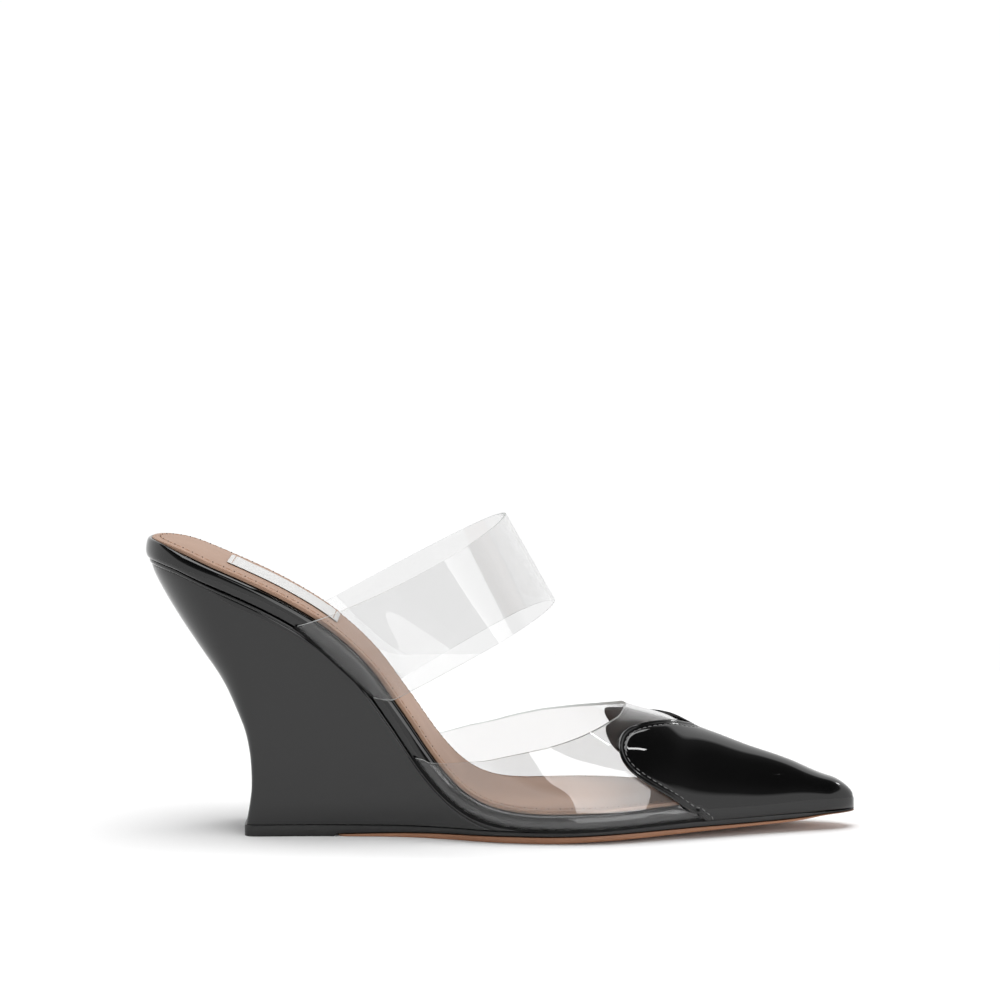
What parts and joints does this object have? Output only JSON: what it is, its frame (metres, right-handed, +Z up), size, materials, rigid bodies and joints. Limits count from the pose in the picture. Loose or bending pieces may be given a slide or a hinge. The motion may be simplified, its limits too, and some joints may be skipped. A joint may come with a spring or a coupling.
{
  "type": "wedge heel mule",
  "caption": "Pointed backless mule on a high wedge heel, with a clear vinyl vamp and instep band, a black patent heart toe cap and a padded tan insole.",
  "frame": {"origin": "on the floor, under the middle of the shoe's box seen from above", "axes": "+X from heel to toe, +Y to the inner side of the foot, +Z up"},
  "size_m": [0.2332, 0.078, 0.104],
  "materials": {
    "tan_sole_leather": "smooth, lightly waxed tan sole leather",
    "black_sole_rubber": "satin black rubber",
    "black_patent_wedge": "high gloss black patent",
    "black_patent_rand": "high gloss black patent",
    "tan_insole_leather": "matt, fine grained pinkish tan leather",
    "white_woven_label": "plain white satin weave",
    "clear_vinyl_strap": "clear glossy vinyl",
    "clear_vinyl_vamp": "clear glossy vinyl",
    "black_patent_cap": "high gloss black patent",
    "dark_lining": "matt dark brown lining"
  },
  "bodies": {
    "root": {"outsole": "tan_sole_leather", "midsole": "black_sole_rubber", "wedge": "black_patent_wedge", "rand": "black_patent_rand", "insole": "tan_insole_leather", "insole_label": "white_woven_label", "instep_strap": "clear_vinyl_strap", "vamp": "clear_vinyl_vamp", "toe_cap": "black_patent_cap", "cap_lining": "dark_lining"}
  },
  "joints": []
}
